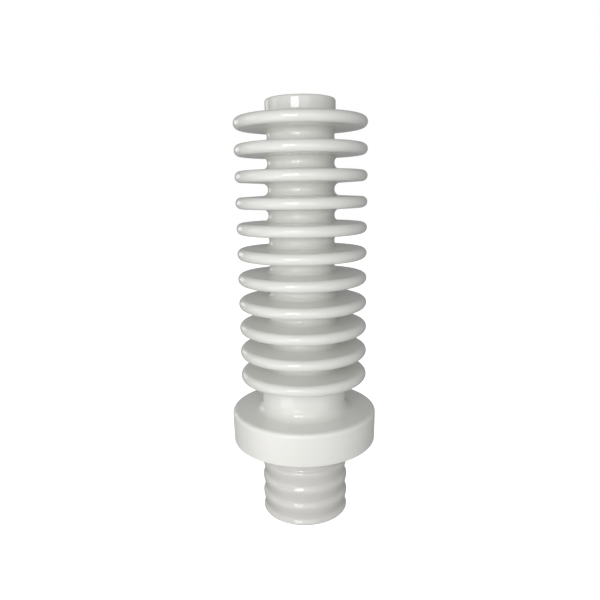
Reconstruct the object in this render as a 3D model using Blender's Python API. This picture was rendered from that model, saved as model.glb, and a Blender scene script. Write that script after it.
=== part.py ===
"""Hollow porcelain apparatus bushing with its clamped conductor.

One fired porcelain body (neck, a stack of equal sheds, a mounting collar and a
ridged stem) is bored right through. A conductor rod runs down the bore inside
an insulating tube that rubber rings hold in the middle. In a recess at each end
of the porcelain, a gasket, a pressure washer, conical disc springs and nuts on
the rod clamp the stack together and seal the bore.

The origin is the middle of the stem's foot, and +Z runs up the axis.
Sizes are in millimetres and become metres where a mesh is made.
"""

import math

import bmesh
import bpy

MM = 0.001
FIT_GAP = 0.3  # between pieces that touch on the real object

# Porcelain, outside, from the foot up
STEM_LENGTH = 64.0
STEM_DIAMETER = 72.0  # over the ridges
STEM_RIDGE_COUNT = 4
STEM_RIDGE_DEPTH = 1.9
STEM_RIDGE_PITCH = 14.55
STEM_RIDGE_UPPER_SHARE = 0.31  # part of the pitch that is a ridge's steeper, upper side
FOOT_RIDGE_HEIGHT = 1.5  # lowest crest above the foot
FOOT_EDGE_RADIUS = 1.5
STEM_FILLET = 2.5  # deeper than the ridges, so that the collar's seat is clear of them
COLLAR_THICKNESS = 26.9
COLLAR_DIAMETER = 120.0
COLLAR_DRAFT = 0.5  # how much smaller the radius is at the collar's underside
COLLAR_TOP_EDGE_RADIUS = 3.5
COLLAR_BOTTOM_EDGE_RADIUS = 1.1
COLLAR_FILLET = 7.0
LOWER_SHANK_DIAMETER = 69.6
LOWER_SHANK_LENGTH = 29.6  # collar's top face to the lowest shed's middle
SHED_COUNT = 11
SHED_PITCH = 20.05
SHED_DIAMETER = 104.0
SHED_RIM_THICKNESS = 8.8
SHED_ROOT_THICKNESS = 11.1
SHED_ROOT_FILLET = 4.3
SHANK_DIAMETER = 52.5
NECK_LENGTH = 17.6  # highest shed's middle to the neck's end face
NECK_DIAMETER = 54.6
NECK_FILLET = 2.8
NECK_EDGE_RADIUS = 1.9

# Conductor and what surrounds it in the bore
ROD_DIAMETER = 16.0
ROD_END_CHAMFER = 1.5
THREAD_RELIEF_DEPTH = 1.2
THREAD_RELIEF_LENGTH = 3.0
UPPER_THREAD_LENGTH = 40.0
LOWER_THREAD_LENGTH = 44.0
UPPER_ROD_SETBACK = 4.0  # rod's end below the neck's end face
LOWER_ROD_SETBACK = 4.0  # rod's end above the foot
TUBE_WALL = 2.5
TUBE_PLAY = 0.5
TUBE_END_PLAY = 1.0
RING_WALL = 2.0
RING_HEIGHT = 12.0
RING_INSET = 30.0  # from the bore's end to the nearest ring's middle

# Clamping stacks in the end recesses
UPPER_RECESS_DEPTH = 36.0
LOWER_RECESS_DEPTH = 40.0
RECESS_MOUTH_RADIUS = 1.2
NUT_WALL = 4.0  # thread to flat
CLAMP_NUT_HEIGHT = 10.0
LOCK_NUT_HEIGHT = 6.0
NUT_HOLE_CHAMFER = 0.8
NUT_CORNER_SLOPE = math.tan(math.radians(30.0))
SPANNER_ROOM = 5.1  # nut's corner to the recess wall
GASKET_THICKNESS = 3.0
WASHER_THICKNESS = 3.0
WASHER_EDGE_CHAMFER = 0.5
SPRING_SHEET = 1.5
SPRING_CONE_HEIGHT = 1.0
SPRING_SEAT_MARGIN = 2.5  # spring's rim inside the washer's rim

# Fineness of the round shapes
BODY_STEPS = 32
HARDWARE_STEPS = 24
RIM_STEPS = 4
FILLET_STEPS = 2
EDGE_STEPS = 2
RIDGE_STEPS = 8
FLAT_CREASE_ANGLE = math.radians(35.0)

# Heights and diameters that follow
RIDGES_TOP = FOOT_RIDGE_HEIGHT + (STEM_RIDGE_COUNT - 1 + STEM_RIDGE_UPPER_SHARE) * STEM_RIDGE_PITCH
COLLAR_TOP = STEM_LENGTH + COLLAR_THICKNESS
LOWEST_SHED = COLLAR_TOP + LOWER_SHANK_LENGTH
HIGHEST_SHED = LOWEST_SHED + (SHED_COUNT - 1) * SHED_PITCH
BODY_HEIGHT = HIGHEST_SHED + NECK_LENGTH
RIM_CENTRE = (SHED_DIAMETER - SHED_RIM_THICKNESS) / 2
SHED_TAPER = (SHED_ROOT_THICKNESS - SHED_RIM_THICKNESS) / 2 / (RIM_CENTRE - SHANK_DIAMETER / 2)
UPPER_SEAT = BODY_HEIGHT - UPPER_RECESS_DEPTH
LOWER_SEAT = LOWER_RECESS_DEPTH
TUBE_INNER_DIAMETER = ROD_DIAMETER + 2 * TUBE_PLAY
TUBE_OUTER_DIAMETER = TUBE_INNER_DIAMETER + 2 * TUBE_WALL
RING_INNER_DIAMETER = TUBE_OUTER_DIAMETER + 2 * FIT_GAP
RING_OUTER_DIAMETER = RING_INNER_DIAMETER + 2 * RING_WALL
BORE_DIAMETER = RING_OUTER_DIAMETER + 2 * FIT_GAP
THREADED_HOLE_DIAMETER = ROD_DIAMETER + 2 * FIT_GAP
NUT_ACROSS_FLATS = ROD_DIAMETER + 2 * NUT_WALL
NUT_ACROSS_CORNERS = NUT_ACROSS_FLATS / math.cos(math.pi / 6)
RECESS_DIAMETER = NUT_ACROSS_CORNERS + 2 * SPANNER_ROOM
WASHER_DIAMETER = RECESS_DIAMETER - 4 * FIT_GAP
SPRING_DIAMETER = WASHER_DIAMETER - 2 * SPRING_SEAT_MARGIN
SPRING_HEIGHT = SPRING_SHEET + SPRING_CONE_HEIGHT

FINISHES = {
    "glazed_porcelain": ((0.86, 0.87, 0.84, 1.0), 0.12, 0.0),
    "brass": ((0.72, 0.52, 0.22, 1.0), 0.28, 1.0),
    "plated_steel": ((0.62, 0.62, 0.60, 1.0), 0.32, 1.0),
    "spring_steel": ((0.30, 0.31, 0.33, 1.0), 0.40, 1.0),
    "nitrile_rubber": ((0.03, 0.03, 0.03, 1.0), 0.75, 0.0),
    "paper_laminate": ((0.42, 0.25, 0.11, 1.0), 0.55, 0.0),
}


def clear_scene():
    """Empty the scene of every object."""
    for obj in list(bpy.data.objects):
        bpy.data.objects.remove(obj, do_unlink=True)


def finish_material(finish):
    """The material of one finish, made once."""
    found = bpy.data.materials.get(finish)
    if found:
        return found
    colour, roughness, metallic = FINISHES[finish]
    material = bpy.data.materials.new(finish)
    material.use_nodes = True
    shader = material.node_tree.nodes["Principled BSDF"]
    shader.inputs["Base Color"].default_value = colour
    shader.inputs["Roughness"].default_value = roughness
    shader.inputs["Metallic"].default_value = metallic
    material.diffuse_color = colour
    return material


def arc(centre, radius, start, end, steps):
    """Points on an arc in the (radius, height) plane, angles in degrees."""
    points = []
    for step in range(steps + 1):
        angle = math.radians(start + (end - start) * step / steps)
        points.append((centre[0] + radius * math.cos(angle), centre[1] + radius * math.sin(angle)))
    return points


def add_object(name, bm, finish):
    """Make an object in the scene from a closed mesh, shaded smooth on its round faces."""
    bmesh.ops.recalc_face_normals(bm, faces=bm.faces)
    mesh = bpy.data.meshes.new(name)
    bm.to_mesh(mesh)
    bm.free()
    mesh.shade_smooth()
    mesh.set_sharp_from_angle(angle=FLAT_CREASE_ANGLE)
    mesh.materials.append(finish_material(finish))
    obj = bpy.data.objects.new(name, mesh)
    bpy.context.scene.collection.objects.link(obj)
    return obj


def turned_part(name, outline, base, finish, steps=HARDWARE_STEPS, parent=None):
    """Spin a closed (radius, height) outline about the axis; heights count from base."""
    bm = bmesh.new()
    verts = [bm.verts.new((radius * MM, 0.0, height * MM)) for radius, height in outline]
    edges = [bm.edges.new((verts[i - 1], vert)) for i, vert in enumerate(verts)]
    bmesh.ops.spin(
        bm,
        geom=verts + edges,
        cent=(0.0, 0.0, 0.0),
        axis=(0.0, 0.0, 1.0),
        angle=2 * math.pi,
        steps=steps,
        use_merge=True,
    )
    bmesh.ops.remove_doubles(bm, verts=bm.verts, dist=FIT_GAP * MM / 100)
    obj = add_object(name, bm, finish)
    obj.location.z = base * MM
    obj.parent = parent
    return obj


def rod_outline(length):
    """Half outline of the rod, from its lower end on the axis to its upper end."""
    radius = ROD_DIAMETER / 2
    neck = radius - THREAD_RELIEF_DEPTH
    points = [(0.0, 0.0), (radius - ROD_END_CHAMFER, 0.0), (radius, ROD_END_CHAMFER)]
    for end in (LOWER_THREAD_LENGTH, length - UPPER_THREAD_LENGTH - THREAD_RELIEF_LENGTH):
        slope = THREAD_RELIEF_DEPTH
        points += [(radius, end), (neck, end + slope)]
        points += [(neck, end + THREAD_RELIEF_LENGTH - slope), (radius, end + THREAD_RELIEF_LENGTH)]
    points += [(radius, length - ROD_END_CHAMFER), (radius - ROD_END_CHAMFER, length), (0.0, length)]
    return points


def ring_outline(inner, outer, height, chamfer=0.0):
    """Rectangle section of a ring from its inner and outer diameters, with its outer edges chamfered."""
    r_in, r_out = inner / 2, outer / 2
    if chamfer == 0.0:
        return [(r_out, height), (r_out, 0.0), (r_in, 0.0), (r_in, height)]
    return [
        (r_out - chamfer, height),
        (r_out, height - chamfer),
        (r_out, chamfer),
        (r_out - chamfer, 0.0),
        (r_in, 0.0),
        (r_in, height),
    ]


def disc_spring_outline(rim_down):
    """Conical washer's section; its outer rim is at the bottom, or at the top where rim_down is false."""
    r_in, r_out = THREADED_HOLE_DIAMETER / 2 + FIT_GAP, SPRING_DIAMETER / 2
    rim = 0.0 if rim_down else SPRING_CONE_HEIGHT
    hub = SPRING_CONE_HEIGHT - rim
    return [(r_out, rim + SPRING_SHEET), (r_out, rim), (r_in, hub), (r_in, hub + SPRING_SHEET)]


def hex_nut(name, height, base, parent):
    """Hexagon nut with chamfered corners and a chamfered hole, made of loops bridged in turn."""
    hole = THREADED_HOLE_DIAMETER / 2
    mouth = hole + NUT_HOLE_CHAMFER
    face = NUT_ACROSS_FLATS / 2 - NUT_HOLE_CHAMFER
    sixth = math.pi / 3
    bm = bmesh.new()
    loops = [[] for _ in range(8)]
    for step in range(HARDWARE_STEPS):
        angle = 2 * math.pi * step / HARDWARE_STEPS
        flat = NUT_ACROSS_FLATS / 2 / math.cos(angle % sixth - sixth / 2)
        drop = (flat - face) * NUT_CORNER_SLOPE
        section = [
            (hole, NUT_HOLE_CHAMFER),
            (mouth, 0.0),
            (face, 0.0),
            (flat, drop),
            (flat, height - drop),
            (face, height),
            (mouth, height),
            (hole, height - NUT_HOLE_CHAMFER),
        ]
        for loop, (radius, z) in zip(loops, section):
            across, along = radius * math.cos(angle), radius * math.sin(angle)
            loop.append(bm.verts.new((across * MM, along * MM, z * MM)))
    for index, loop in enumerate(loops):
        following = loops[(index + 1) % len(loops)]
        for step in range(HARDWARE_STEPS):
            after = (step + 1) % HARDWARE_STEPS
            bm.faces.new((loop[step], loop[after], following[after], following[step]))
    obj = add_object(name, bm, "plated_steel")
    obj.location.z = base * MM
    obj.parent = parent
    return obj


def shed_half_thickness(radius):
    """Half of a shed's thickness at a radius: its faces taper from the root to the rim."""
    return SHED_RIM_THICKNESS / 2 + SHED_TAPER * (RIM_CENTRE - radius)


def root_fillet():
    """The sheds' root fillet, no larger than half of the groove between two sheds."""
    groove = SHED_PITCH - 2 * shed_half_thickness(SHANK_DIAMETER / 2 + SHED_ROOT_FILLET)
    return min(SHED_ROOT_FILLET, groove / 2 - FIT_GAP)


def shed_points(middle, radius_above, radius_below, fillet_above, fillet_below):
    """One shed: upper root fillet, tapered disc with a full-round rim, lower root fillet."""
    lean = math.degrees(math.atan(SHED_TAPER))
    above, below = radius_above + fillet_above, radius_below + fillet_below
    upper = (above, middle + shed_half_thickness(above) + fillet_above)
    lower = (below, middle - shed_half_thickness(below) - fillet_below)
    points = arc(upper, fillet_above, 180.0, 270.0 - lean, FILLET_STEPS)
    points += arc((RIM_CENTRE, middle), SHED_RIM_THICKNESS / 2, 90.0 - lean, lean - 90.0, RIM_STEPS)
    points += arc(lower, fillet_below, 90.0 + lean, 180.0, FILLET_STEPS)
    return points


def collar_points():
    """The collar, from its fillet under the lower shank to its underside at the stem."""
    radius = COLLAR_DIAMETER / 2
    top_edge = (radius - COLLAR_TOP_EDGE_RADIUS, COLLAR_TOP - COLLAR_TOP_EDGE_RADIUS)
    bottom_edge = (
        radius - COLLAR_DRAFT - COLLAR_BOTTOM_EDGE_RADIUS,
        STEM_LENGTH + COLLAR_BOTTOM_EDGE_RADIUS,
    )
    fillet = (LOWER_SHANK_DIAMETER / 2 + COLLAR_FILLET, COLLAR_TOP + COLLAR_FILLET)
    points = arc(fillet, COLLAR_FILLET, 180.0, 270.0, FILLET_STEPS + 1)
    points += arc(top_edge, COLLAR_TOP_EDGE_RADIUS, 90.0, 0.0, EDGE_STEPS + 1)
    points += arc(bottom_edge, COLLAR_BOTTOM_EDGE_RADIUS, 0.0, -90.0, EDGE_STEPS)
    return points


def stem_radius(height):
    """Radius of the stem: leaning cosine ridges under a plain land at the groove's radius."""
    pitches = (height - FOOT_RIDGE_HEIGHT) / STEM_RIDGE_PITCH
    above = pitches - math.floor(pitches)
    if height >= RIDGES_TOP:
        wave = -1.0
    elif above < STEM_RIDGE_UPPER_SHARE:
        wave = math.cos(math.pi * above / STEM_RIDGE_UPPER_SHARE)
    else:
        wave = math.cos(math.pi * (1 - above) / (1 - STEM_RIDGE_UPPER_SHARE))
    return STEM_DIAMETER / 2 - STEM_RIDGE_DEPTH / 2 * (1 - wave)


def stem_points():
    """The ridged stem, from its root fillet at the collar's underside to the rounded edge of the foot."""
    highest, lowest = STEM_LENGTH - STEM_FILLET, FOOT_EDGE_RADIUS
    root = arc((STEM_FILLET, highest), STEM_FILLET, 90.0, 180.0, FILLET_STEPS)
    points = [(stem_radius(height) + outward, height) for outward, height in root]
    points.append((stem_radius(RIDGES_TOP), RIDGES_TOP))
    step_height = STEM_RIDGE_PITCH / RIDGE_STEPS
    first = math.floor((RIDGES_TOP - FOOT_RIDGE_HEIGHT) / step_height)
    last = math.floor((lowest - FOOT_RIDGE_HEIGHT) / step_height) + 1
    for step in range(first, last - 1, -1):
        height = FOOT_RIDGE_HEIGHT + step * step_height
        points.append((stem_radius(height), height))
    foot_centre = (stem_radius(lowest) - FOOT_EDGE_RADIUS, lowest)
    return points + arc(foot_centre, FOOT_EDGE_RADIUS, 0.0, -90.0, EDGE_STEPS)


def inner_points():
    """The lower recess, the bore and the upper recess, from the foot up."""
    bore, recess = BORE_DIAMETER / 2, RECESS_DIAMETER / 2
    mouth = RECESS_MOUTH_RADIUS
    points = arc((recess + mouth, mouth), mouth, 270.0, 180.0, EDGE_STEPS)
    points += [(recess, LOWER_SEAT), (bore, LOWER_SEAT), (bore, UPPER_SEAT), (recess, UPPER_SEAT)]
    return points + arc((recess + mouth, BODY_HEIGHT - mouth), mouth, 180.0, 90.0, EDGE_STEPS)


def porcelain_outline():
    """The whole section of the porcelain, down its outside and up its inside."""
    neck = NECK_DIAMETER / 2
    shank = SHANK_DIAMETER / 2
    edge_centre = (neck - NECK_EDGE_RADIUS, BODY_HEIGHT - NECK_EDGE_RADIUS)
    points = arc(edge_centre, NECK_EDGE_RADIUS, 90.0, 0.0, EDGE_STEPS)
    fillet = root_fillet()
    for index in range(SHED_COUNT):
        first, last = index == 0, index == SHED_COUNT - 1
        points += shed_points(
            HIGHEST_SHED - index * SHED_PITCH,
            neck if first else shank,
            LOWER_SHANK_DIAMETER / 2 if last else shank,
            NECK_FILLET if first else fillet,
            fillet,
        )
    return points + collar_points() + stem_points() + inner_points()


def make_porcelain(parent):
    """The porcelain body, one fired piece."""
    turned_part("porcelain_body", porcelain_outline(), 0.0, "glazed_porcelain", BODY_STEPS, parent)


def make_conductor(parent):
    """The rod, the tube around it, and the rings that hold the tube in the middle of the bore."""
    rod_length = BODY_HEIGHT - UPPER_ROD_SETBACK - LOWER_ROD_SETBACK
    turned_part("conductor_rod", rod_outline(rod_length), LOWER_ROD_SETBACK, "brass", parent=parent)
    tube_base = LOWER_SEAT + TUBE_END_PLAY
    tube = ring_outline(TUBE_INNER_DIAMETER, TUBE_OUTER_DIAMETER, UPPER_SEAT - TUBE_END_PLAY - tube_base)
    turned_part("insulating_tube", tube, tube_base, "paper_laminate", parent=parent)
    ring_middles = {
        "lower_centring_ring": LOWER_SEAT + RING_INSET,
        "middle_centring_ring": (LOWER_SEAT + UPPER_SEAT) / 2,
        "upper_centring_ring": UPPER_SEAT - RING_INSET,
    }
    ring = ring_outline(RING_INNER_DIAMETER, RING_OUTER_DIAMETER, RING_HEIGHT, WASHER_EDGE_CHAMFER)
    for name, middle in ring_middles.items():
        turned_part(name, ring, middle - RING_HEIGHT / 2, "nitrile_rubber", parent=parent)


def make_upper_clamp(parent):
    """Gasket, washer, disc spring and nut, stacked upwards from the upper seat."""
    gasket = ring_outline(THREADED_HOLE_DIAMETER, WASHER_DIAMETER, GASKET_THICKNESS)
    washer = ring_outline(
        THREADED_HOLE_DIAMETER, WASHER_DIAMETER, WASHER_THICKNESS, WASHER_EDGE_CHAMFER
    )
    height = UPPER_SEAT + FIT_GAP
    turned_part("upper_gasket", gasket, height, "nitrile_rubber", parent=parent)
    height += GASKET_THICKNESS + FIT_GAP
    turned_part("upper_pressure_washer", washer, height, "plated_steel", parent=parent)
    height += WASHER_THICKNESS + FIT_GAP
    spring = disc_spring_outline(rim_down=True)
    turned_part("upper_disc_spring", spring, height, "spring_steel", parent=parent)
    height += SPRING_HEIGHT + FIT_GAP
    hex_nut("upper_clamp_nut", CLAMP_NUT_HEIGHT, height, parent)


def make_lower_clamp(parent):
    """Gasket, washer, two opposed disc springs and two nuts, stacked downwards from the lower seat."""
    gasket = ring_outline(THREADED_HOLE_DIAMETER, WASHER_DIAMETER, GASKET_THICKNESS)
    washer = ring_outline(
        THREADED_HOLE_DIAMETER, WASHER_DIAMETER, WASHER_THICKNESS, WASHER_EDGE_CHAMFER
    )
    height = LOWER_SEAT - FIT_GAP - GASKET_THICKNESS
    turned_part("lower_gasket", gasket, height, "nitrile_rubber", parent=parent)
    height -= FIT_GAP + WASHER_THICKNESS
    turned_part("lower_pressure_washer", washer, height, "plated_steel", parent=parent)
    for name, rim_down in (("lower_disc_spring_inner", False), ("lower_disc_spring_outer", True)):
        height -= FIT_GAP + SPRING_HEIGHT
        turned_part(name, disc_spring_outline(rim_down), height, "spring_steel", parent=parent)
    height -= FIT_GAP + CLAMP_NUT_HEIGHT
    hex_nut("lower_clamp_nut", CLAMP_NUT_HEIGHT, height, parent)
    height -= FIT_GAP + LOCK_NUT_HEIGHT
    hex_nut("lower_lock_nut", LOCK_NUT_HEIGHT, height, parent)


def main():
    clear_scene()
    bushing = bpy.data.objects.new("bushing", None)
    bpy.context.scene.collection.objects.link(bushing)
    make_porcelain(bushing)
    make_conductor(bushing)
    make_upper_clamp(bushing)
    make_lower_clamp(bushing)


main()
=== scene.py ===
"""Looks of a hollow porcelain apparatus bushing with its clamped through conductor.

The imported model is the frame. Every visible node gets a finer surface in the
same place: the fired body with its sheds, collar and ridged stem, the threaded
rod, and the gasket, washer, springs and nuts that clamp it in each end recess.
Sizes are in millimetres and become metres where a mesh is made.
"""

import sys

import logging
import math
from dataclasses import dataclass
from enum import Enum
from typing import Any

import bpy
import numpy as np
from mathutils import Matrix, Vector


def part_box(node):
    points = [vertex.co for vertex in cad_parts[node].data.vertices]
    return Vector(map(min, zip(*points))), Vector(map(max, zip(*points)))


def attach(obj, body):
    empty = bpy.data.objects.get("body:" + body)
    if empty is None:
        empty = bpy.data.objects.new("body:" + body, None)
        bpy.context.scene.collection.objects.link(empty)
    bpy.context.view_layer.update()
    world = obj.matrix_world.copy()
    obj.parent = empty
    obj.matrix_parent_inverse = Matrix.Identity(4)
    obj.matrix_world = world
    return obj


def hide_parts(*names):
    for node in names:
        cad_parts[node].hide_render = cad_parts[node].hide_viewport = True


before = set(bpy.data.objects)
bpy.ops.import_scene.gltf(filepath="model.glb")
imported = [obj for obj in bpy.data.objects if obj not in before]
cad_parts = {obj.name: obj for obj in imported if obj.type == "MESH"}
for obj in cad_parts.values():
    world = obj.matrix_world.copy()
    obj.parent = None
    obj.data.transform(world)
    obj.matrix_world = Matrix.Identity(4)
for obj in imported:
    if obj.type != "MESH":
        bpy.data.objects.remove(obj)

MM = 0.001
TOUCHING = 1e-6  # millimetres within which two points are one
BODY = "root"
LOG = logging.getLogger("bushing")

Array = np.ndarray
Value = Any  # a socket, a number or a tuple that a node's input takes


# --- shader maths


class Signal:
    """A number that varies over a surface: a node's output socket with arithmetic."""

    def __init__(self, graph: "Graph", socket: bpy.types.NodeSocket) -> None:
        """Keep the socket and the graph that new nodes go into."""
        self.graph = graph
        self.socket = socket

    def _math(self, operation: str, *values: Value) -> "Signal":
        """One Math node of that operation on the values."""
        return self.graph.node("ShaderNodeMath", {"operation": operation}, dict(enumerate(values)))

    def __add__(self, other: Value) -> "Signal":
        """Sum of two signals."""
        return self._math("ADD", self, other)

    def __radd__(self, other: Value) -> "Signal":
        """Sum with a number on the left."""
        return self._math("ADD", other, self)

    def __sub__(self, other: Value) -> "Signal":
        """Difference of two signals."""
        return self._math("SUBTRACT", self, other)

    def __rsub__(self, other: Value) -> "Signal":
        """A number less this signal."""
        return self._math("SUBTRACT", other, self)

    def __mul__(self, other: Value) -> "Signal":
        """Product of two signals."""
        return self._math("MULTIPLY", self, other)

    def __rmul__(self, other: Value) -> "Signal":
        """Product with a number on the left."""
        return self._math("MULTIPLY", other, self)

    def between(self, low: float, high: float) -> "Signal":
        """Smooth step: 0 below low, 1 above high, and an S-shaped rise from one to the other."""
        settings = {"interpolation_type": "SMOOTHSTEP"}
        return self.graph.node("ShaderNodeMapRange", settings, {0: self, 1: low, 2: high})


class Graph:
    """A material's node tree, with one method that adds any node."""

    def __init__(self, name: str) -> None:
        """Start a material of that name with only its output node."""
        self.material = bpy.data.materials.new(name)
        self.material.use_nodes = True
        self.tree = self.material.node_tree
        self.tree.nodes.clear()

    def node(
        self, kind: str, settings: dict[str, Any], inputs: dict[Any, Value], output: int | str = 0
    ) -> Signal:
        """Add one node, set it up and feed it.

        Args:
            kind: the node's Blender type.
            settings: attributes of the node, set before its inputs.
            inputs: values or links by input name or number.
            output: which of the node's outputs is returned.

        Returns:
            The chosen output as a signal.
        """
        made = self.tree.nodes.new(kind)
        for key, value in settings.items():
            setattr(made, key, value)
        for key, value in inputs.items():
            socket = made.inputs[key]
            if isinstance(value, Signal):
                self.tree.links.new(value.socket, socket)
            else:
                socket.default_value = value
        return Signal(self, made.outputs[output])

    def place(self) -> Signal:
        """Object coordinates, which are the row frame's own in metres."""
        return self.node("ShaderNodeTexCoord", {}, {}, "Object")

    def attribute(self, name: str) -> Signal:
        """A number stored on the mesh's points."""
        return self.node("ShaderNodeAttribute", {"attribute_name": name}, {}, "Fac")

    def noise(
        self, size: float, detail: float = 2.0, where: Signal | None = None, seed: float = 0.0
    ) -> Signal:
        """Soft random mottling.

        Args:
            size: width of a mottle in millimetres.
            detail: how many finer octaves are added.
            where: coordinates, or the object's own when left out.
            seed: shifts the pattern to another part of the noise field.

        Returns:
            Noise between 0 and 1 about a mean of one half.
        """
        place = where or self.place()
        moved = self.node("ShaderNodeVectorMath", {"operation": "ADD"}, {0: place, 1: (seed,) * 3})
        values = {"Vector": moved, "Scale": 1.0 / (size * MM), "Detail": detail}
        return self.node("ShaderNodeTexNoise", {"noise_dimensions": "3D"}, values)

    def stretched(self, factors: tuple[float, float, float]) -> Signal:
        """Object coordinates multiplied axis by axis, to draw a pattern out along one of them."""
        settings = {"operation": "MULTIPLY"}
        return self.node("ShaderNodeVectorMath", settings, {0: self.place(), 1: factors})

    def specks(self, spacing: float, radius: float, share: float) -> Signal:
        """Scattered round dots: points of a jittered lattice, of which only a share is kept.

        Args:
            spacing: mean distance between lattice points in millimetres.
            radius: a dot's radius in millimetres.
            share: part of the lattice points that carries a dot, from 0 to 1.

        Returns:
            1 in a dot and 0 elsewhere, with soft edges.
        """
        inputs = {"Vector": self.place(), "Scale": 1.0 / (spacing * MM)}
        reach = radius / spacing
        distance = self.node("ShaderNodeTexVoronoi", {}, inputs, "Distance")
        chance = self.node("ShaderNodeTexVoronoi", {}, inputs, "Color")
        lottery = self.node("ShaderNodeSeparateColor", {}, {0: chance})
        kept = 1.0 - lottery.between(share, share * 1.02)
        return (1.0 - distance.between(reach * 0.5, reach)) * kept

    def blend(self, mask: Value, low: Value, high: Value) -> Signal:
        """Colour mix: low where the mask is 0, high where it is 1."""
        settings = {"data_type": "RGBA", "clamp_factor": True}
        return self.node("ShaderNodeMix", settings, {0: mask, 6: low, 7: high}, 2)

    def bump(self, height: Signal, distance: float, strength: float = 1.0) -> Signal:
        """Normal tilted by a height signal; distance is the height of 1 in millimetres."""
        values = {"Height": height, "Distance": distance * MM, "Strength": strength}
        return self.node("ShaderNodeBump", {}, values)

    def surface(self, **inputs: Value) -> bpy.types.Material:
        """Close the material with a Principled shader.

        Args:
            inputs: the shader's inputs, with underscores for the spaces in their names.

        Returns:
            The finished material.
        """
        named = {key.replace("_", " "): value for key, value in inputs.items()}
        shader = self.node("ShaderNodeBsdfPrincipled", {}, named)
        self.node_output(shader)
        return self.material

    def node_output(self, shader: Signal) -> None:
        """Link a shader to the material's output."""
        made = self.tree.nodes.new("ShaderNodeOutputMaterial")
        self.tree.links.new(shader.socket, made.inputs["Surface"])


Colour = tuple[float, float, float, float]


def opaque(red: float, green: float, blue: float) -> Colour:
    """A colour with full alpha."""
    return (red, green, blue, 1.0)


# --- finishes


class Slot(Enum):
    """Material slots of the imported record."""

    GLAZE = "porcelain_glaze"
    BRASS = "conductor_brass"
    PLATE = "plated_steel"
    SPRING = "spring_steel"
    RUBBER = "nitrile_rubber"
    PAPER = "paper_laminate"


@dataclass(frozen=True)
class PorcelainGlaze:
    """White gloss glaze over a fired white body, bare where the body is ground flat."""

    glaze: Colour = opaque(0.843, 0.843, 0.812)
    pooled: Colour = opaque(0.80, 0.806, 0.772)
    thinned: Colour = opaque(0.865, 0.861, 0.83)
    # Paler colour of the collar's duller side: partly its finish, partly painted light on the lit side.
    pale: Colour = opaque(0.93, 0.925, 0.885)
    # Darker colour painted on the stem as shade under the collar.
    stem_painted_shade: Colour = opaque(0.775, 0.762, 0.735)
    bisque: Colour = opaque(0.78, 0.76, 0.71)
    speck: Colour = opaque(0.33, 0.26, 0.18)
    speck_lattice: tuple[float, float, float] = (19.0, 0.32, 0.22)
    pinhole_lattice: tuple[float, float, float] = (11.0, 0.22, 0.3)
    # How far the stem's painted shade goes toward that darker colour.
    stem_shade_share: float = 0.75
    gloss_roughness: float = 0.07
    satin_roughness: float = 0.34
    bisque_roughness: float = 0.78
    ripple_size: float = 5.5
    ripple_height: float = 0.012

    def material(self) -> bpy.types.Material:
        """Build the glaze.

        The mesh carries four numbers: "glazed" is 0 on ground faces, "pool" runs from 0
        on outer edges, where glaze drains thin, to 1 in the corners where it gathers,
        "satin" is 1 on the collar's side, where the glaze is duller and paler, the paleness
        partly painted light, and "stem" is 1 under the collar, where a darker colour is painted shade.

        Returns:
            The material.
        """
        g = Graph("porcelain_glaze")
        edge_wander = (g.noise(2.2, 3.0) - 0.5) * 0.5
        glazed = (g.attribute("glazed") + edge_wander).between(0.42, 0.58)
        satin = (g.attribute("satin") + edge_wander * 0.4).between(0.4, 0.6)
        pool = g.attribute("pool") + (g.noise(17.0, 2.0, seed=3.0) - 0.5) * 0.5
        cloud = g.noise(34.0, 3.0, g.stretched((1.0, 1.0, 0.45)), 7.0)
        thick = g.blend(pool.between(0.5, 1.0), self.glaze, self.pooled)
        thick = g.blend(pool.between(0.5, 0.0), thick, self.thinned)
        thick = g.blend(cloud.between(0.45, 0.8) * 0.35, thick, self.pooled)
        spots = g.specks(*self.speck_lattice)
        pinholes = g.specks(*self.pinhole_lattice)
        # Painted shade: the stem under the collar is darkened toward the shade colour.
        thick = g.blend(g.attribute("stem") * self.stem_shade_share, thick, self.stem_painted_shade)
        # Paler collar side: a duller finish, with its paleness partly painted light.
        thick = g.blend(satin, thick, self.pale)
        colour = g.blend(spots * 0.7, thick, self.speck)
        grit = g.noise(0.7, 3.0, seed=11.0)
        bare = g.blend(grit.between(0.3, 0.75) * 0.4, self.bisque, self.thinned)
        bare = g.blend(g.noise(9.0, 2.0, seed=5.0).between(0.55, 0.8) * 0.3, bare, self.pooled)
        colour = g.blend(glazed, bare, colour)
        gloss = self.gloss_roughness + g.noise(26.0, 3.0, seed=2.0) * 0.05
        gloss = gloss + satin * (self.satin_roughness - self.gloss_roughness)
        roughness = self.bisque_roughness * (1.0 - glazed) + gloss * glazed
        ripple = g.noise(self.ripple_size, 1.0, seed=1.0) + g.noise(14.0, 0.0, seed=9.0) * 1.6
        turning = g.noise(1.6, 1.0, g.stretched((0.03, 0.03, 1.0)), 13.0)
        relief = (ripple + turning * 0.12 - pinholes * 1.5) * glazed
        normal = g.bump(relief + (grit * 1.3 - 0.5) * (1.0 - glazed), self.ripple_height)
        return g.surface(
            Base_Color=colour, Roughness=roughness, Normal=normal, IOR=1.52, Specular_IOR_Level=0.5
        )


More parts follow.
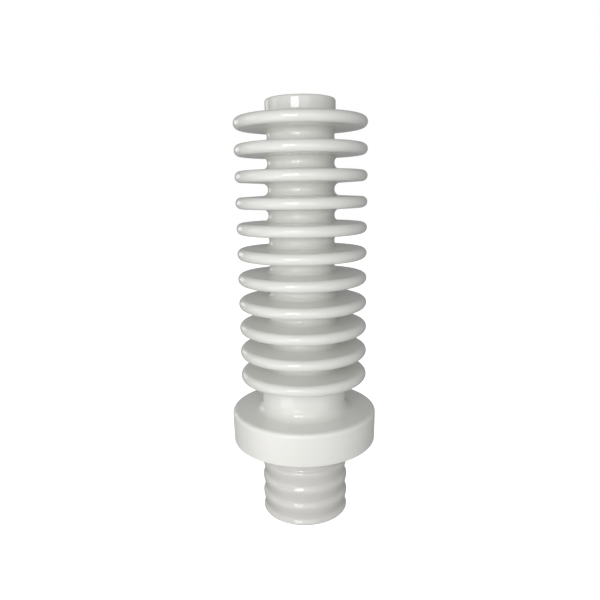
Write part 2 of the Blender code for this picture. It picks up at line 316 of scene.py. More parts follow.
@dataclass(frozen=True)
class Brass:
    """Turned and threaded brass, lightly tarnished."""

    bright: Colour = opaque(0.78, 0.57, 0.26)
    tarnished: Colour = opaque(0.42, 0.27, 0.10)

    def material(self) -> bpy.types.Material:
        """Build the brass: tarnish in soft patches, fine turning lines round the axis."""
        g = Graph("conductor_brass")
        patches = g.noise(9.0, 4.0).between(0.42, 0.72)
        lines = g.noise(0.5, 2.0, g.stretched((0.04, 0.04, 1.0)), 4.0)
        colour = g.blend(patches * 0.6, self.bright, self.tarnished)
        roughness = 0.2 + lines * 0.16 + patches * 0.12
        normal = g.bump(lines + g.noise(1.1, 2.0, seed=6.0) * 0.4, 0.012)
        return g.surface(Base_Color=colour, Roughness=roughness, Metallic=1.0, Normal=normal)


@dataclass(frozen=True)
class ZincPlate:
    """Zinc-plated steel with a faint yellow and blue passivation."""

    plate: Colour = opaque(0.66, 0.67, 0.67)
    warm: Colour = opaque(0.66, 0.60, 0.46)
    dull: Colour = opaque(0.40, 0.42, 0.44)

    def material(self) -> bpy.types.Material:
        """Build the plating: warm and dull patches over bright zinc, with a fine grain."""
        g = Graph("plated_steel")
        warm = g.noise(7.0, 3.0, seed=2.0).between(0.45, 0.75)
        dull = g.noise(4.0, 4.0, seed=8.0).between(0.5, 0.8)
        colour = g.blend(warm * 0.55, self.plate, self.warm)
        colour = g.blend(dull * 0.5, colour, self.dull)
        grain = g.noise(0.35, 3.0)
        roughness = 0.26 + dull * 0.16 + grain * 0.1
        normal = g.bump(grain + g.noise(1.8, 1.0, seed=5.0), 0.010)
        return g.surface(Base_Color=colour, Roughness=roughness, Metallic=1.0, Normal=normal)


@dataclass(frozen=True)
class SpringSteel:
    """Phosphated and oiled spring steel."""

    coat: Colour = opaque(0.115, 0.12, 0.125)
    worn: Colour = opaque(0.34, 0.35, 0.36)

    def material(self) -> bpy.types.Material:
        """Build the phosphate: dark crystals, paler where it is rubbed."""
        g = Graph("spring_steel")
        rubbed = g.noise(5.0, 4.0).between(0.5, 0.75)
        crystals = g.noise(0.3, 3.0, seed=3.0)
        colour = g.blend(rubbed * 0.6 + crystals * 0.2, self.coat, self.worn)
        roughness = 0.52 - rubbed * 0.2 + crystals * 0.1
        normal = g.bump(crystals, 0.012)
        return g.surface(Base_Color=colour, Roughness=roughness, Metallic=0.85, Normal=normal)


@dataclass(frozen=True)
class NitrileRubber:
    """Moulded black rubber with a little bloom."""

    black: Colour = opaque(0.022, 0.022, 0.023)
    bloom: Colour = opaque(0.085, 0.085, 0.082)

    def material(self) -> bpy.types.Material:
        """Build the rubber: pale bloom in clouds, and the mould's fine texture."""
        g = Graph("nitrile_rubber")
        bloom = g.noise(6.0, 4.0).between(0.48, 0.8)
        texture = g.noise(0.45, 2.0, seed=2.0)
        colour = g.blend(bloom * 0.7, self.black, self.bloom)
        normal = g.bump(texture, 0.03)
        return g.surface(Base_Color=colour, Roughness=0.6 + bloom * 0.2, Normal=normal)


@dataclass(frozen=True)
class PaperLaminate:
    """Varnished tube of wound kraft paper."""

    paper: Colour = opaque(0.40, 0.235, 0.10)
    fibre: Colour = opaque(0.22, 0.115, 0.045)

    def material(self) -> bpy.types.Material:
        """Build the laminate: long fibres round the tube and darker resin clouds."""
        g = Graph("paper_laminate")
        fibres = g.noise(0.6, 4.0, g.stretched((0.12, 0.12, 1.0)))
        clouds = g.noise(13.0, 2.0, seed=4.0).between(0.4, 0.7)
        colour = g.blend(fibres.between(0.4, 0.7) * 0.7 + clouds * 0.3, self.paper, self.fibre)
        normal = g.bump(fibres, 0.02)
        return g.surface(
            Base_Color=colour, Roughness=0.34 + fibres * 0.2, Normal=normal, Coat_Weight=0.3
        )


@dataclass(frozen=True)
class StudioPaper:
    """Plain pale paper of the studio floor, lit a little from behind."""

    colour: Colour = opaque(0.86, 0.86, 0.855)
    tooth: Colour = opaque(0.84, 0.84, 0.835)
    light: Colour = opaque(1.0, 1.0, 0.99)
    glow: float = 0.95

    def material(self) -> bpy.types.Material:
        """Build the paper, with a faint tooth in its tone."""
        g = Graph("studio_paper")
        tone = g.blend(g.noise(3.0, 3.0).between(0.2, 0.8) * 0.3, self.colour, self.tooth)
        return g.surface(
            Base_Color=tone,
            Roughness=0.9,
            Specular_IOR_Level=0.0,
            Emission_Color=self.light,
            Emission_Strength=self.glow,
        )


# --- surfaces


def arc(
    centre: tuple[float, float], radius: float, start: float, end: float, count: int = 9
) -> Array:
    """Arc in the (radius, height) plane: the centre plus the radius turned through even angles.

    Args:
        centre: the arc's centre.
        radius: its radius.
        start: first angle in degrees.
        end: last angle in degrees.
        count: number of points.

    Returns:
        Points, one row each.
    """
    angles = np.radians(np.linspace(start, end, count))
    return np.column_stack((centre[0] + radius * np.cos(angles), centre[1] + radius * np.sin(angles)))


def rounded(corners: list[tuple[float, float]], radii: float | list[float], count: int = 5) -> Array:
    """Closed polygon with every corner rounded.

    Each corner becomes a quadratic curve between the two points that lie one radius away
    from it along its sides, so it stays tangent to both.

    Args:
        corners: the polygon's corners in order.
        radii: one radius for all corners, or one for each.
        count: points on each rounded corner.

    Returns:
        The outline's points.
    """
    points = np.asarray(corners, float)
    reach = np.broadcast_to(np.asarray(radii, float), (len(points),))[:, None]
    before = np.roll(points, 1, axis=0) - points
    after = np.roll(points, -1, axis=0) - points
    start = points + before / np.linalg.norm(before, axis=1, keepdims=True) * reach
    end = points + after / np.linalg.norm(after, axis=1, keepdims=True) * reach
    t = np.linspace(0.0, 1.0, count)[None, :, None]
    curve = (1 - t) ** 2 * start[:, None] + 2 * t * (1 - t) * points[:, None] + t**2 * end[:, None]
    return curve.reshape(-1, 2)


def rectangle(inner: float, outer: float, low: float, high: float) -> list[tuple[float, float]]:
    """Corners of a plain ring's section, from the foot of its outer side inwards and up."""
    return [(outer, low), (inner, low), (inner, high), (outer, high)]


def supported(outline: Array, shortest: float = 0.5, gap: float = 0.12) -> Array:
    """Add a point near each end of an outline's long sides, so that shading stays flat there.

    Args:
        outline: rows of radius and height; it closes on itself.
        shortest: length above which a side is long. Arcs whose steps are shorter get none.
        gap: distance of the added points from the corners.

    Returns:
        The finer outline, of the same shape.
    """
    side = np.roll(outline, -1, axis=0) - outline
    length = np.hypot(side[:, 0], side[:, 1])
    share = gap / np.maximum(length, gap)
    shares = np.column_stack((0.0 * share, share, 1.0 - share))
    points = outline[:, None, :] + shares[:, :, None] * side[:, None, :]
    keep = np.column_stack((length > TOUCHING, length > shortest, length > shortest))
    return points[keep]


def along(outline: Array) -> Array:
    """Distance from an outline's first point to each of its points, measured along it."""
    return np.concatenate(([0.0], np.cumsum(np.linalg.norm(np.diff(outline, axis=0), axis=1))))


def grid_faces(rows: int, columns: int, closed: bool) -> Array:
    """Quads of a grid whose columns go round the axis, and whose rows close too if asked.

    Args:
        rows: points along the section.
        columns: points round the axis.
        closed: whether the last row joins the first.

    Returns:
        Four vertex numbers for each quad.
    """
    last = rows if closed else rows - 1
    row, column = np.meshgrid(np.arange(last), np.arange(columns), indexing="ij")
    down, along = (row + 1) % rows, (column + 1) % columns
    here, below = row * columns, down * columns
    corners = (here + column, here + along, below + along, below + column)
    return np.stack(corners, axis=-1).reshape(-1, 4)


@dataclass
class Lathe:
    """A surface round the axis: radius and height as functions of the section and the angle.

    Attributes:
        name: the piece's name.
        radius: radii in millimetres, sections by angles (or one column for a turned shape).
        height: heights in millimetres, in the same layout.
        closed: True for a ring-like section; False where the section's ends meet the axis.
        steps: points round the axis.
        crease: angle in degrees above which an edge stays sharp.
        numbers: further values by section point, stored on the mesh under their names.
    """

    name: str
    radius: Array
    height: Array
    closed: bool = True
    steps: int = 96
    crease: float = 40.0
    numbers: dict[str, Array] | None = None

    @classmethod
    def turned(cls, name: str, section: Array, steps: int = 96) -> "Lathe":
        """A ring-like turned shape from a section's rows of radius and height."""
        return cls(name, section[:, :1], section[:, 1:], steps=steps)

    def build(self) -> bpy.types.Object:
        """Make the object: x and y are the radius times cosine and sine, z is the height."""
        angle = np.arange(self.steps) * (2 * math.pi / self.steps)
        radius, height = np.broadcast_arrays(self.radius, self.height)
        shape = (len(radius), self.steps)
        radius, height = np.broadcast_to(radius, shape), np.broadcast_to(height, shape)
        grid = np.stack((radius * np.cos(angle), radius * np.sin(angle), height), axis=-1)
        points = grid.reshape(-1, 3) * MM
        quads = grid_faces(shape[0], self.steps, self.closed)
        triangles = np.empty((0, 3), int)
        if not self.closed:
            points, triangles = self._poles(points, grid, shape[0])
        quads, triangles = self._outward(points, quads, triangles)
        mesh = bpy.data.meshes.new(self.name)
        mesh.from_pydata(points, [], [*quads.tolist(), *triangles.tolist()])
        mesh.validate()
        mesh.shade_smooth()
        mesh.set_sharp_from_angle(angle=math.radians(self.crease))
        for name, values in (self.numbers or {}).items():
            spread = np.zeros(len(points), np.float32)
            spread[: shape[0] * self.steps] = np.repeat(values, self.steps)
            mesh.attributes.new(name, "FLOAT", "POINT").data.foreach_set("value", spread)
        piece = bpy.data.objects.new(self.name, mesh)
        bpy.context.scene.collection.objects.link(piece)
        return piece

    def _poles(self, points: Array, grid: Array, rows: int) -> tuple[Array, Array]:
        """Close both ends with a fan of triangles to a point on the axis."""
        ends = np.array([[0, 0, grid[0, :, 2].mean()], [0, 0, grid[-1, :, 2].mean()]]) * MM
        column = np.arange(self.steps)
        along = (column + 1) % self.steps
        first, last = len(points), len(points) + 1
        base = (rows - 1) * self.steps
        low = np.column_stack((np.full(self.steps, first), along, column))
        high = np.column_stack((np.full(self.steps, last), base + column, base + along))
        return np.vstack((points, ends)), np.vstack((low, high))

    @staticmethod
    def _outward(points: Array, quads: Array, triangles: Array) -> tuple[Array, Array]:
        """The faces, turned round if the signed volume of their cones to the origin is negative."""
        a, b, c, d = (points[quads[:, i]] for i in range(4))
        volume = np.einsum("ij,ij->", a, np.cross(b, c)) + np.einsum("ij,ij->", a, np.cross(c, d))
        order = -1 if volume < 0 else 1
        return quads[:, ::order], triangles[:, ::order]


def dress(lathe: Lathe, material: bpy.types.Material, node: str) -> None:
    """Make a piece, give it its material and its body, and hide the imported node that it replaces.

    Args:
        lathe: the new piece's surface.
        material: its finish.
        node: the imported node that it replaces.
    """
    piece = lathe.build()
    piece.data.materials.append(material)
    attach(piece, BODY)
    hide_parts(node)
    LOG.info("%s: %d faces, stands for %s", piece.name, len(piece.data.polygons), node)


def heights(node: str) -> tuple[float, float]:
    """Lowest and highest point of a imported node, in millimetres."""
    low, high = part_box(node)
    return low.z / MM, high.z / MM


# --- sub-assemblies


@dataclass
class PorcelainBody:
    """The fired body: neck, sheds, collar, ridged stem, bore and end recesses."""

    stem_length: float = 64.0
    stem_radius: float = 36.0
    ridge_count: int = 4
    ridge_depth: float = 1.9
    ridge_pitch: float = 14.55
    ridge_upper_share: float = 0.28
    foot_ridge: float = 0.9
    foot_edge: float = 1.5
    stem_fillet: float = 2.5
    collar_thickness: float = 26.9
    collar_radius: float = 60.0
    collar_draft: float = 0.5
    collar_top_edge: float = 3.5
    collar_bottom_edge: float = 1.1
    collar_fillet: float = 7.0
    lower_shank: float = 34.8
    lower_shank_length: float = 29.6
    shed_count: int = 11
    shed_pitch: float = 20.05
    shed_radius: float = 52.0
    shed_rim: float = 8.8
    shed_root: float = 11.1
    root_fillet: float = 4.3
    shank: float = 26.25
    neck_length: float = 17.6
    neck: float = 27.3
    neck_fillet: float = 2.8
    neck_edge: float = 1.9
    bore: float = 13.6
    recess: float = 18.956
    upper_recess_depth: float = 36.0
    lower_recess_depth: float = 40.0
    mouth: float = 1.2
    seat_edge: float = 0.8
    steps: int = 168
    arc_step: float = 1.5
    skin: float = 0.05
    wander: float = 0.11
    satin_limit: float = 48.0

    @property
    def collar_top(self) -> float:
        """Height of the collar's top face."""
        return self.stem_length + self.collar_thickness

    @property
    def highest_shed(self) -> float:
        """Height of the top shed's middle."""
        lowest = self.collar_top + self.lower_shank_length
        return lowest + (self.shed_count - 1) * self.shed_pitch

    @property
    def top(self) -> float:
        """Height of the neck's end face."""
        return self.highest_shed + self.neck_length

    def shed(
        self, middle: float, above: float, below: float, fillet_above: float, fillet_below: float
    ) -> Array:
        """Section of one shed: root fillet, tapered flank, full-round rim, flank, root fillet.

        Args:
            middle: height of its middle plane.
            above: radius of the core over it.
            below: radius of the core under it.
            fillet_above: fillet radius where it meets the core over it.
            fillet_below: fillet radius where it meets the core under it.

        Returns:
            The section's points, from the top down.
        """
        rim = self.shed_rim / 2
        rim_centre = self.shed_radius - rim
        taper = (self.shed_root - self.shed_rim) / 2 / (rim_centre - self.shank)
        lean = math.degrees(math.atan(taper))
        out_above, out_below = above + fillet_above, below + fillet_below
        high = middle + rim + taper * (rim_centre - out_above) + fillet_above
        low = middle - rim - taper * (rim_centre - out_below) - fillet_below
        return np.vstack(
            (
                arc((out_above, high), fillet_above, 180.0, 270.0 - lean, 7),
                arc((rim_centre, middle), rim, 90.0 - lean, lean - 90.0, 15),
                arc((out_below, low), fillet_below, 90.0 + lean, 180.0, 7),
            )
        )

    def sheds(self) -> Array:
        """The whole stack of sheds, from the neck down to the lower shank."""
        parts = []
        for index in range(self.shed_count):
            first, last = index == 0, index == self.shed_count - 1
            parts.append(
                self.shed(
                    self.highest_shed - index * self.shed_pitch,
                    self.neck if first else self.shank,
                    self.lower_shank if last else self.shank,
                    self.neck_fillet if first else self.root_fillet,
                    self.root_fillet,
                )
            )
        return np.vstack(parts)

    def collar(self) -> Array:
        """The collar: fillet under the shank, soft top edge, drafted side, crisp bottom edge."""
        low_centre = self.collar_radius - self.collar_draft - self.collar_bottom_edge
        fillet = (self.lower_shank + self.collar_fillet, self.collar_top + self.collar_fillet)
        top_edge = (self.collar_radius - self.collar_top_edge, self.collar_top - self.collar_top_edge)
        bottom_edge = (low_centre, self.stem_length + self.collar_bottom_edge)
        return np.vstack(
            (
                arc(fillet, self.collar_fillet, 180.0, 270.0, 11),
                arc(top_edge, self.collar_top_edge, 90.0, 0.0, 13),
                arc(bottom_edge, self.collar_bottom_edge, 0.0, -90.0, 7),
            )
        )

    def stem(self) -> Array:
        """The ridged stem, with a fillet at its root and a rounded foot edge."""
        highest, lowest = self.stem_length - self.stem_fillet, self.foot_edge
        root = arc((self.stem_fillet, highest), self.stem_fillet, 90.0, 180.0, 8)[:-1]
        wave = np.linspace(highest, lowest, 90)[:-1]
        rise = np.concatenate((root[:, 1], wave))
        outward = np.concatenate((root[:, 0], np.zeros_like(wave)))
        side = np.column_stack((self.ridged(rise) + outward, rise))
        foot = float(self.ridged(np.array([lowest]))[0]) - self.foot_edge
        return np.vstack((side, arc((foot, lowest), self.foot_edge, 0.0, -90.0, 7)))

    def ridged(self, height: Array) -> Array:
        """Radius of the stem: its crest radius less half the ridges' depth times one minus a wave.

        The wave is a cosine that falls through half a turn over each ridge's upper side and
        rises through the other half over its lower side, which is the longer. Above the
        highest groove it stays at its lowest, and the stem is plain.

        Args:
            height: heights above the foot.

        Returns:
            One radius for each height.
        """
        pitches = (height - self.foot_ridge) / self.ridge_pitch
        above = pitches - np.floor(pitches)
        falling = above / self.ridge_upper_share
        rising = (1 - above) / (1 - self.ridge_upper_share)
        half_turns = np.where(above < self.ridge_upper_share, falling, rising)
        plain = pitches > self.ridge_count - 1 + self.ridge_upper_share
        wave = np.where(plain, -1.0, np.cos(math.pi * half_turns))
        return self.stem_radius - self.ridge_depth / 2 * (1 - wave)

    def inside(self) -> Array:
        """The lower recess, the bore and the upper recess, from the foot up."""
        low, high = self.lower_recess_depth, self.top - self.upper_recess_depth
        edge, mouth = self.seat_edge, self.mouth
        return np.vstack(
            (
                arc((self.recess + mouth, mouth), mouth, 270.0, 180.0, 6),
                arc((self.recess - edge, low - edge), edge, 0.0, 90.0, 5),
                arc((self.bore + edge, low + edge), edge, 270.0, 180.0, 5),
                arc((self.bore + edge, high - edge), edge, 180.0, 90.0, 5),
                arc((self.recess - edge, high + edge), edge, 270.0, 360.0, 5),
                arc((self.recess + mouth, self.top - mouth), mouth, 180.0, 90.0, 6),
            )
        )

    def outline(self) -> Array:
        """The closed section, down the outside and up the inside."""
        edge = self.neck_edge
        rim = arc((self.neck - edge, self.top - edge), edge, 90.0, 0.0, 8)
        parts = (rim, self.sheds(), self.collar(), self.stem(), self.inside())
        return supported(np.vstack(parts), self.arc_step)

    def pool(self, outline: Array) -> Array:
        """How much glaze gathers: the section's turning, smoothed along it, from 0 to 1.

        The turning at a point is the cross product of the unit sides before and after it.
        It is positive where the wall is hollow. Its running mean, over a copy of the section
        with points added on the arcs too, is scaled to lie about one half, for a flat wall.

        Args:
            outline: the closed section.

        Returns:
            One number for each point.
        """
        fine = supported(outline)
        side = np.roll(fine, -1, axis=0) - fine
        side /= np.linalg.norm(side, axis=1, keepdims=True)
        before = np.roll(side, 1, axis=0)
        turning = side[:, 1] * before[:, 0] - side[:, 0] * before[:, 1]
        kernel = np.hanning(9) / np.hanning(9).sum()
        wrapped = np.concatenate((turning[-4:], turning, turning[:4]))
        gathered = np.clip(0.5 + 4.0 * np.convolve(wrapped, kernel, mode="valid"), 0.0, 1.0)
        return np.interp(along(outline), along(fine), gathered)

    def marks(self, outline: Array) -> dict[str, Array]:
        """Numbers that the glaze reads, each 1 where its mark holds and 0 elsewhere.

        "glazed" is all but the ground faces: the neck's end, the foot, the collar's seat,
        the seats in the recesses and the bore. "satin" is the collar's side, up to the
        middle of its top edge; the glaze makes it duller and paler there, and the paleness
        is partly painted light on that lit side. "stem" is all under the collar, where the
        glaze paints shade.

        Args:
            outline: the closed section.

        Returns:
            One array for each name, and how much glaze gathers as "pool".
        """
        radius, height = outline.T
        low, high = self.lower_recess_depth, self.top - self.upper_recess_depth
        on_end = (height > self.top - self.skin) | (height < self.skin)
        seat = (np.abs(height - self.stem_length) < self.skin) & (radius > self.stem_radius)
        between = (height > low - self.skin) & (height < high + self.skin)
        bare = on_end | seat | (between & (radius < self.recess - self.skin))
        share = 1 - math.sin(math.radians(self.satin_limit))
        under_edge = height < self.collar_top - self.collar_top_edge * share
        over_seat = height > self.stem_length + 2 * self.skin
        side = (radius > self.shed_radius + 3.0) & under_edge & over_seat
        marks = {"glazed": ~bare, "satin": side, "stem": height < self.stem_length}
        return {name: 1.0 * mark for name, mark in marks.items()} | {"pool": self.pool(outline)}

    def wavy(self, outline: Array) -> tuple[Array, Array]:
        """Radius and height with the slight unevenness of a turned and fired body.

        The radius gains two slow waves round the axis whose phase drifts with the height,
        in proportion to the radius. The height gains one wave, which tips each shed a little.
        The inside, the ground faces and the ends stay true.

        Args:
            outline: the closed section.

        Returns:
            Radii and heights, sections by angles.
        """
        radius, height = outline[:, :1], outline[:, 1:]
        angle = np.arange(self.steps)[None, :] * (2 * math.pi / self.steps)
        outside = np.clip((radius - self.recess - 2.0) / 6.0, 0.0, 1.0)
        ends = np.clip(np.minimum(height - 4.0, self.top - 4.0 - height) / 12.0, 0.0, 1.0)
        collar = np.clip(np.abs(height - self.stem_length) / 10.0, 0.0, 1.0)
        share = outside * ends * self.wander
        swell = 0.6 * np.cos(2 * angle + height * 0.021)
        swell = swell + 0.4 * np.cos(3 * angle - height * 0.047 + 1.0)
        tip = np.cos(angle + height * 0.3135 + 0.7)
        return (
            radius * (1 + (share / self.collar_radius) * (swell - 0.9)),
            height + share * collar * tip * radius / self.shed_radius,
        )

    def build(self) -> None:
        """Make the porcelain and dress it in its glaze."""
        outline = self.outline()
        radius, height = self.wavy(outline)
        marks = self.marks(outline)
        lathe = Lathe("porcelain", radius, height, True, self.steps, 50.0, marks)
        dress(lathe, PorcelainGlaze().material(), "porcelain_body")


@dataclass
class Conductor:
    """The threaded rod, the tube round it and the rings that centre the tube."""

    rod_radius: float = 8.0
    end_chamfer: float = 1.5
    thread_pitch: float = 2.0
    thread_depth: float = 1.1
    thread_fade: float = 1.5
    relief_depth: float = 1.2
    relief_length: float = 3.0
    lower_thread: float = 44.0
    upper_thread: float = 40.0
    tube_inner: float = 8.5
    tube_outer: float = 11.0
    tube_edge: float = 0.3
    ring_inner: float = 11.3
    ring_outer: float = 13.3
    rib_count: int = 3
    rib_depth: float = 0.45
    steps: int = 64

    def rod(self) -> None:
        """Make the rod.

        Along each threaded end the radius drops by a rounded saw wave whose phase is the
        height over the pitch less the angle over a full turn, faded out at both of its
        limits. Short reliefs separate the threads from the plain middle.
        """
        low, high = heights("conductor_rod")
        chamfer, top_of_low = self.end_chamfer, low + self.lower_thread
        foot_of_high = high - self.upper_thread
        fine = self.thread_pitch / 10
        z = np.concatenate(
            (
                np.arange(low + chamfer, top_of_low, fine),
                np.linspace(top_of_low, top_of_low + self.relief_length, 13),
                np.linspace(top_of_low + 5.0, foot_of_high - 5.0, 8),
                np.linspace(foot_of_high - self.relief_length, foot_of_high, 13),
                np.arange(foot_of_high + fine, high - chamfer, fine),
            )
        )[:, None]
        angle = np.arange(self.steps)[None, :] / self.steps
        phase = (z / self.thread_pitch - angle) % 1.0
        groove = np.clip(1.25 - 2.5 * np.abs(phase - 0.5), 0.0, 1.0)
        groove = groove * groove * (3 - 2 * groove)
        from_low = np.minimum(z - low - 1.0, top_of_low - z)
        from_high = np.minimum(high - 1.0 - z, z - foot_of_high)
        cut = sum(np.clip(reach / self.thread_fade, 0.0, 1.0) for reach in (from_low, from_high))
        middles = (top_of_low + self.relief_length / 2, foot_of_high - self.relief_length / 2)
        relief = sum(np.clip(1.6 - np.abs(z - middle) / 0.95, 0.0, 1.0) for middle in middles)
        drop = (1 - groove) * self.thread_depth * cut + relief * self.relief_depth
        face = np.array([0.02, 0.5, 0.93, 0.98, 1.0]) * (self.rod_radius - chamfer)
        edge = np.linspace(0.0, chamfer, 6)[1:-1]
        end_radius = np.concatenate((face, self.rod_radius - chamfer + edge))[:, None]
        end_rise = np.concatenate((0 * face, edge))[:, None]
        flat = np.zeros_like(angle)
        radius = np.vstack((end_radius + flat, self.rod_radius - drop, end_radius[::-1] + flat))
        height = np.vstack((low + end_rise, z, high - end_rise[::-1]))
        lathe = Lathe("rod", radius, height, False, self.steps, 42.0)
        dress(lathe, Brass().material(), "conductor_rod")

    def tube(self) -> None:
        """Make the wound tube, with slightly eased ends."""
        corners = rectangle(self.tube_inner, self.tube_outer, *heights("insulating_tube"))
        lathe = Lathe.turned("wound_tube", supported(rounded(corners, self.tube_edge, 4)))
        dress(lathe, PaperLaminate().material(), "insulating_tube")

    def rings(self, rubber: bpy.types.Material) -> None:
        """Make the three centring rings.

        Round the outside run low ribs: the radius drops by half the rib's depth times one
        plus the cosine of the height, with one wave for each rib.

        Args:
            rubber: their finish.
        """
        for place in ("lower", "middle", "upper"):
            node = f"{place}_centring_ring"
            low, high = heights(node)
            z = np.linspace(high - 0.5, low + 0.5, 41)
            waves = np.cos(2 * math.pi * self.rib_count * (z - low) / (high - low))
            outer = np.column_stack((self.ring_outer - self.rib_depth / 2 * (1 + waves), z))
            corners = rectangle(self.ring_inner, self.ring_outer - 2 * self.rib_depth, low, high)
            lathe = Lathe.turned(f"{place}_ring", supported(np.vstack((outer, corners))))
            dress(lathe, rubber, node)

    def build(self, rubber: bpy.types.Material) -> None:
        """Make the rod, the tube and the rings."""
        self.rod()
        self.tube()
        self.rings(rubber)


class End(Enum):
    """The bushing's two ends."""

    UPPER = "upper"
    LOWER = "lower"


@dataclass
class ClampStack:
    """Gasket, washer, disc springs and nuts in one end recess, outwards from its seat.

    Attributes:
        rubber: finish of the gasket.
        plate: finish of the washer and the nuts.
        spring: finish of the disc springs.
        end: which end's recess it is.
        springs: for each disc spring's node, whether its rim is down.
        nuts: the nuts' nodes.
    """

    rubber: bpy.types.Material
    plate: bpy.types.Material
    spring: bpy.types.Material
    end: End
    springs: dict[str, bool]
    nuts: tuple[str, ...]
    hole: float = 8.3
    spring_hole: float = 8.6
    disc: float = 18.356
    spring_rim: float = 15.856
    spring_sheet: float = 1.5
    spring_edge: float = 0.35
    gasket_edge: float = 0.5
    washer_edge: float = 0.45
    flats: float = 24.0
    face_inset: float = 0.6
    corner_ease: float = 0.12
    hole_chamfer: float = 0.8
    steps: int = 120

    def ring(
        self, node: str, name: str, material: bpy.types.Material, easing: float
    ) -> None:
        """Make a flat ring with eased edges.

        Args:
            node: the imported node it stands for.
            name: the piece's name.
            material: its finish.
            easing: radius of its edges.
        """
        corners = rectangle(self.hole, self.disc, *heights(node))
        section = supported(rounded(corners, [easing, easing * 0.6, easing * 0.6, easing]))
        dress(Lathe.turned(name, section, self.steps), material, node)

    def disc_spring(self, node: str, rim_down: bool) -> None:
        """Make a conical disc spring with rounded edges.

        Args:
            node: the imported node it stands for.
            rim_down: whether its rim is lower than its hole.
        """
        low, high = heights(node)
        cone = high - low - self.spring_sheet
        rim = low if rim_down else low + cone
        hub = low + cone if rim_down else low
        corners = [
            (self.spring_rim, rim),
            (self.spring_hole, hub),
            (self.spring_hole, hub + self.spring_sheet),
            (self.spring_rim, rim + self.spring_sheet),
        ]
        section = supported(rounded(corners, self.spring_edge))
        lathe = Lathe.turned(node.replace("_disc", ""), section, self.steps)
        dress(lathe, self.spring, node)

    def nut(self, node: str) -> None:
        """Make a hexagon nut.

        Round the axis the side's radius is half the width over the cosine of the angle from
        the nearest flat's middle, held back a little at the corners. The end faces turn down
        by a cone of thirty degrees outside a circle just within the flats, which cuts the
        curved chamfer lines into them. The section runs out over the upper face, down the
        side and back in under the lower face, which mirrors the upper.

        Args:
            node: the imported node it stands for.
        """
        low, high = heights(node)
        half, sixth = self.flats / 2, math.pi / 3
        angle = np.arange(self.steps) * (2 * math.pi / self.steps)
        side = half / np.cos((angle % sixth) - sixth / 2)
        side = np.minimum(side, half / math.cos(sixth / 2) - self.corner_ease)[None, :]
        flat = 0 * side
        face = half - self.face_inset
        slope = math.tan(math.radians(30.0))
        drop = (side - face) * slope
        mouth = np.array([0.0, 0.4, 0.8, 1.0, 1.25, 1.6])[:, None] * self.hole_chamfer
        mouth_fall = np.maximum(self.hole_chamfer - mouth, 0.0)
        cone = face + (side - face) * np.array([0.12, 0.5, 0.88])[:, None]
        radii = (self.hole + mouth + flat, face - 0.15 + flat, face + flat, cone, side - 0.05, side, side)
        edge_falls = (drop * 0.985, drop + 0.06, drop + 0.35)
        falls = (mouth_fall + flat, flat, flat, (cone - face) * slope, *edge_falls)
        out, fall = np.vstack(radii), np.vstack(falls)
        radius, height = np.vstack((out, out[::-1])), np.vstack((high - fall, low + fall[::-1]))
        name = node.replace("_clamp", "").replace("_lock", "_jam")
        lathe = Lathe(name, radius, height, steps=self.steps, crease=24.0)
        dress(lathe, self.plate, node)

    def build(self) -> None:
        """Make the gasket, the washer, the disc springs and the nuts."""
        end = self.end.value
        self.ring(f"{end}_gasket", f"{end}_seal", self.rubber, self.gasket_edge)
        self.ring(f"{end}_pressure_washer", f"{end}_washer", self.plate, self.washer_edge)
        for node, rim_down in self.springs.items():
            self.disc_spring(node, rim_down)
        for node in self.nuts:
            self.nut(node)


# --- studio


@dataclass(frozen=True)
class Softbox:
    """A rectangular soft light aimed at a point on the bushing's axis.

    Attributes:
        name: the light's name.
        place: its centre in metres.
        width: metres.
        height: metres.
        radiance: brightness of its surface.
        aim: height of the aimed point in metres.
    """

    name: str
    place: tuple[float, float, float]
    width: float
    height: float
    radiance: float
    aim: float = 0.19

    def build(self) -> None:
        """Make the light; its power is its brightness times its area times pi."""
        data = bpy.data.lights.new(self.name, "AREA")
        data.shape = "RECTANGLE"
        data.size, data.size_y = self.width, self.height
        data.energy = self.radiance * self.width * self.height * math.pi
        light = bpy.data.objects.new(self.name, data)
        light.location = Vector(self.place)
        away = light.location - Vector((0.0, 0.0, self.aim))
        light.rotation_mode = "QUATERNION"
        light.rotation_quaternion = away.to_track_quat("Z", "Y")
        light.visible_camera = False
        bpy.context.scene.collection.objects.link(light)


@dataclass(frozen=True)
class PanedLight:
    """A front light of several panes side by side and one over another.

    Attributes:
        left: x of the leftmost pane's middle in metres.
        low: z of the lowest pane's middle in metres.
        away: distance in front of the axis in metres.
        columns: panes side by side.
        rows: panes one over another.
        pane: width and height of a pane in metres.
        pitch: distances between the panes' middles in metres.
        radiance: brightness of each row's panes, from the lowest row up.
    """

    left: float = -0.21
    low: float = 0.17
    away: float = 0.50
    columns: int = 2
    rows: int = 3
    pane: tuple[float, float] = (0.11, 0.05)
    pitch: tuple[float, float] = (0.12, 0.115)
    radiance: tuple[float, ...] = (6.0, 16.5, 9.5)

    def panes(self) -> list[Softbox]:
        """One softbox for each pane."""
        boxes = []
        for row in range(self.rows):
            for column in range(self.columns):
                across, up = self.left + column * self.pitch[0], self.low + row * self.pitch[1]
                name = f"window_pane_{row}_{column}"
                boxes.append(Softbox(name, (across, -self.away, up), *self.pane, self.radiance[row]))
        return boxes


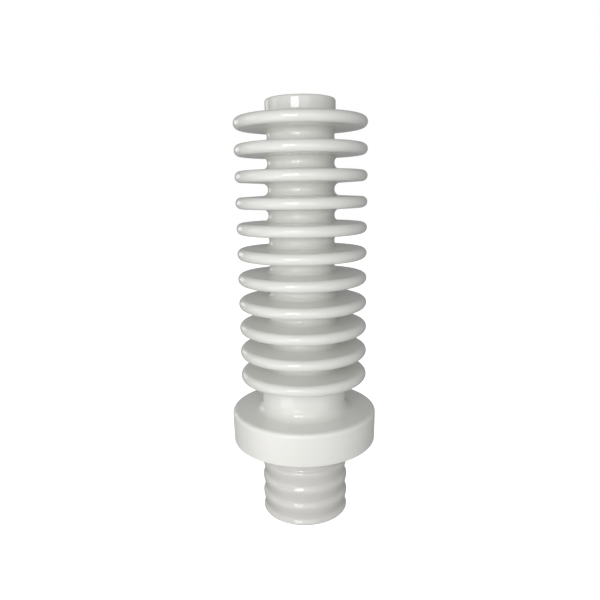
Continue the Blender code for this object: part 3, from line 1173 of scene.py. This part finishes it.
@dataclass
class Studio:
    """Pale floor, white surround and soft lights."""

    floor_half: float = 4.0
    surround_radius: float = 3.9
    ambient: float = 0.31
    window: PanedLight = PanedLight()
    softboxes: tuple[Softbox, ...] = (
        Softbox("front_fill", (0.14, -0.56, 0.28), 0.30, 0.30, 1.4),
        Softbox("left_fill", (-0.80, 0.0, 0.42), 0.30, 0.40, 1.1),
        Softbox("back_left_fill", (-0.60, 0.60, 0.32), 0.30, 0.30, 1.4),
        Softbox("low_left_fill", (-0.30, -0.30, 0.03), 0.25, 0.25, 1.5, 0.32),
        Softbox("low_front_fill", (0.12, -0.50, 0.04), 0.40, 0.12, 0.6, 0.28),
        Softbox("low_right_fill", (0.30, -0.30, 0.03), 0.25, 0.25, 0.4, 0.32),
    )

    def floor(self) -> None:
        """Lay the floor at the foot's height."""
        half = self.floor_half
        mesh = bpy.data.meshes.new("studio_floor")
        corners = [(-half, -half, 0.0), (half, -half, 0.0), (half, half, 0.0), (-half, half, 0.0)]
        mesh.from_pydata(corners, [], [(0, 1, 2, 3)])
        mesh.materials.append(StudioPaper().material())
        floor = bpy.data.objects.new("studio_floor", mesh)
        bpy.context.scene.collection.objects.link(floor)
        floor.visible_diffuse = False
        floor.visible_glossy = False

    def surround(self) -> None:
        """Hang a plain white dome that is seen but neither lights nor shades anything."""
        angle = np.linspace(0.0, math.pi, 25)[1:-1, None]
        radius = self.surround_radius / MM
        dome = Lathe("studio_surround", radius * np.sin(angle), radius * np.cos(angle), False, 48).build()
        graph = Graph("studio_white")
        shade = graph.node("ShaderNodeEmission", {}, {"Color": opaque(1.0, 1.0, 1.0), "Strength": 1.0})
        graph.node_output(shade)
        dome.data.materials.append(graph.material)
        dome.visible_diffuse = False
        dome.visible_glossy = False
        dome.visible_transmission = False
        dome.visible_shadow = False

    def lights(self) -> None:
        """Set up the softboxes and an even, weak light from all round."""
        softboxes = (*self.window.panes(), *self.softboxes)
        for softbox in softboxes:
            softbox.build()
        LOG.info("studio: %d softboxes", len(softboxes))
        world = bpy.data.worlds.new("studio_air")
        world.use_nodes = True
        air = world.node_tree.nodes["Background"]
        air.inputs["Color"].default_value = opaque(1.0, 1.0, 1.0)
        air.inputs["Strength"].default_value = self.ambient
        bpy.context.scene.world = world

    def build(self) -> None:
        """Make the floor, the surround and the lights."""
        self.floor()
        self.surround()
        self.lights()


@dataclass(frozen=True)
class Viewpoint:
    """The camera, in front of the bushing and a little above its middle.

    Attributes:
        distance: metres from the axis.
        height: metres above the floor.
        pitch: degrees that it looks down.
        yaw: degrees that it is turned to the left.
        roll: degrees that it leans.
        lens: focal length in millimetres on a 36 mm sensor.
    """

    distance: float = 0.4489
    height: float = 0.2699
    pitch: float = 11.09
    yaw: float = 0.28
    roll: float = 0.814
    lens: float = 33.456

    def build(self) -> None:
        """Place the camera and make it the scene's."""
        pitch, yaw, roll = (math.radians(a) for a in (self.pitch, self.yaw, self.roll))
        level = math.cos(pitch)
        ahead = Vector((-math.sin(yaw) * level, math.cos(yaw) * level, -math.sin(pitch)))
        across = ahead.cross(Vector((0.0, 0.0, 1.0))).normalized()
        right = across * math.cos(roll) - across.cross(ahead) * math.sin(roll)
        up = right.cross(ahead)
        data = bpy.data.cameras.new("viewpoint")
        data.lens = self.lens
        data.sensor_width = 36.0
        data.clip_start = 0.01
        camera = bpy.data.objects.new("viewpoint", data)
        turned = Matrix((right, up, -ahead)).transposed().to_4x4()
        camera.matrix_world = Matrix.Translation((0.0, -self.distance, self.height)) @ turned
        bpy.context.scene.collection.objects.link(camera)
        bpy.context.scene.camera = camera


def main() -> None:
    """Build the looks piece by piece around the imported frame."""
    logging.basicConfig(level=logging.INFO, format="%(message)s", stream=sys.stdout)
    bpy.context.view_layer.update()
    rubber = NitrileRubber().material()
    plate, spring = ZincPlate().material(), SpringSteel().material()
    PorcelainBody().build()
    Conductor().build(rubber)
    finishes = (rubber, plate, spring)
    ClampStack(*finishes, End.UPPER, {"upper_disc_spring": True}, ("upper_clamp_nut",)).build()
    opposed = {"lower_disc_spring_inner": False, "lower_disc_spring_outer": True}
    ClampStack(*finishes, End.LOWER, opposed, ("lower_clamp_nut", "lower_lock_nut")).build()
    Studio().build()
    Viewpoint().build()
    bpy.context.scene.view_settings.view_transform = "Standard"
    LOG.info("%d packed nodes are stood for", len(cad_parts))


if __name__ == "__main__":
    main()
